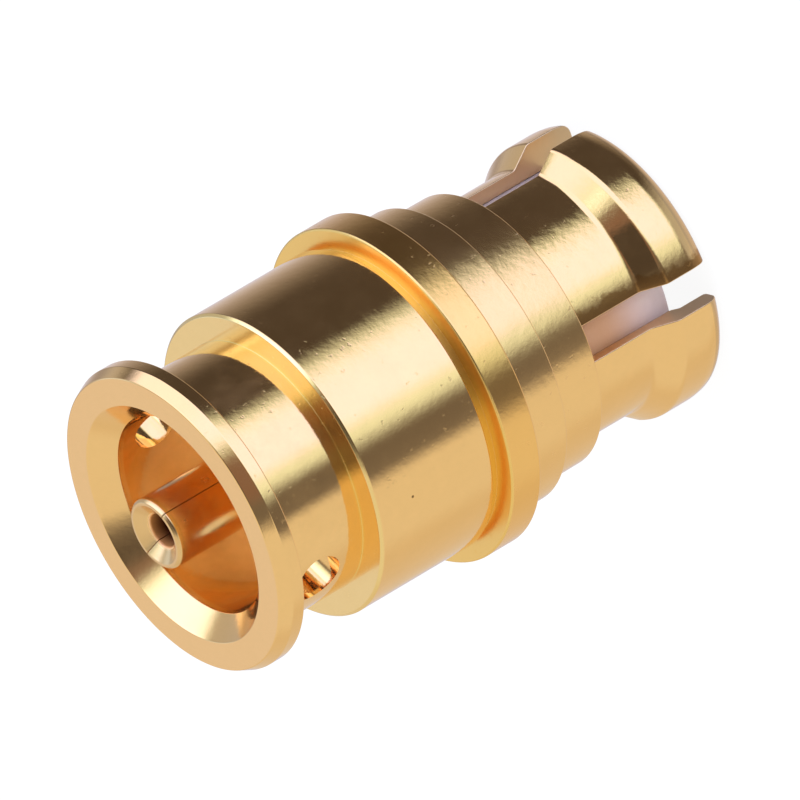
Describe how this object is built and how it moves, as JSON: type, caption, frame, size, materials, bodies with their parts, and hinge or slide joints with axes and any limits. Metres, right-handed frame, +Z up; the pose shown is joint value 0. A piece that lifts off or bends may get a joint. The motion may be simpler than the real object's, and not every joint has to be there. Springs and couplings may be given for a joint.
{
  "type": "coaxial push-on connector adapter",
  "caption": "Gold-plated coaxial push-on adapter with a flared socket mouth, a cross-drilled neck, a stepped collar and slotted spring fingers around a split contact.",
  "frame": {"origin": "on the common axis, in the plane of the finger tips that it stands on", "axes": "+Z runs up the common axis from the finger tips to the flared mouth; +X points out through the middle of one finger slot"},
  "size_m": [0.0038, 0.0038, 0.0064],
  "materials": {
    "polished_gold": "polished gold plate on brass",
    "turned_gold": "gold plate over fine turning marks on brass",
    "contact_gold": "gold plate on spring copper alloy",
    "ptfe": "white PTFE"
  },
  "bodies": {
    "root": {"mouth_shell": "polished_gold", "finger_shell": "turned_gold", "mouth_insulator": "ptfe", "finger_insulator": "ptfe", "center_contact": "contact_gold"}
  },
  "joints": []
}
